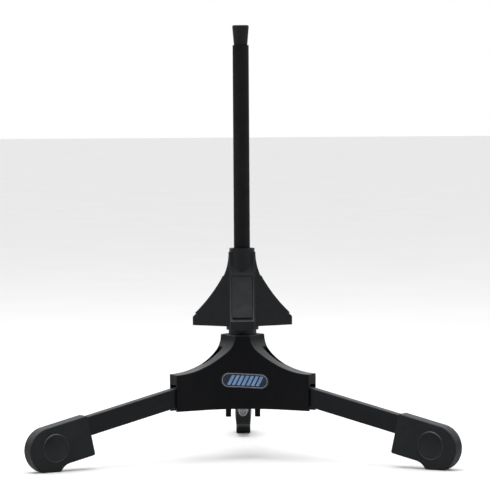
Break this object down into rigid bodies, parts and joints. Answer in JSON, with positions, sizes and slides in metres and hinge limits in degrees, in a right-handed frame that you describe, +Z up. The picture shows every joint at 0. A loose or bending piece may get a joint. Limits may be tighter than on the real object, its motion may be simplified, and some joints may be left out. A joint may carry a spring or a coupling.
{
  "type": "trumpet stand",
  "caption": "Folding trumpet stand: upright padded peg with a rubber cap, a flared bell support of padded fins, and a hub with hinged legs that end in thick rubber feet.",
  "frame": {"origin": "on the floor under the peg's axis, with the legs open", "axes": "+Z up along the peg; -Y towards the badge; +X to the right when the badge is faced"},
  "size_m": [0.3196, 0.277, 0.3266],
  "materials": {
    "frame_plastic": "satin",
    "leg_plastic": "satin",
    "pad_rubber": "matte",
    "foot_rubber": "matte",
    "button_plastic": "satin",
    "peg_rubber": "matte",
    "peg_cap": "matte",
    "badge": "printed",
    "steel": "zinc plated",
    "chrome": "polished"
  },
  "bodies": {
    "hub": {"hub_housing": "frame_plastic", "hub_cover": "frame_plastic", "stem": "frame_plastic", "cone_body": "frame_plastic", "cone_pad_front": "pad_rubber", "cone_pad_right": "pad_rubber", "cone_pad_left": "pad_rubber", "badge": "badge", "tie_bolt": "steel", "tie_washer": "steel", "cap_nut": "chrome", "pivot_pin_left": "steel", "pivot_pin_right": "steel", "pivot_pin_back": "steel", "detent_spring_left": "steel", "detent_spring_right": "steel", "detent_spring_back": "steel"},
    "peg": {"peg_tube": "steel", "peg_sleeve": "peg_rubber", "peg_cap": "peg_cap"},
    "leg_left": {"leg_left": "leg_plastic", "foot_left": "foot_rubber", "foot_buttons_left": "button_plastic"},
    "leg_right": {"leg_right": "leg_plastic", "foot_right": "foot_rubber", "foot_buttons_right": "button_plastic"},
    "leg_back": {"leg_back": "leg_plastic", "foot_back": "foot_rubber", "foot_buttons_back": "button_plastic"}
  },
  "joints": [
    {"name": "peg_pull_out", "type": "slide", "parent": "hub", "child": "peg", "axis": [0, 0, 1], "range_m": [0, 0.04]},
    {"name": "fold_left", "type": "hinge", "parent": "hub", "child": "leg_left", "pos_m": [-0.02122, -0.01225, 0.056], "axis": [0.5, -0.866, 0], "range_deg": [0, 74]},
    {"name": "fold_right", "type": "hinge", "parent": "hub", "child": "leg_right", "pos_m": [0.02122, -0.01225, 0.056], "axis": [0.5, 0.866, 0], "range_deg": [0, 74]},
    {"name": "fold_back", "type": "hinge", "parent": "hub", "child": "leg_back", "pos_m": [0, 0.0245, 0.056], "axis": [-1, 0, 0], "range_deg": [0, 74]}
  ]
}
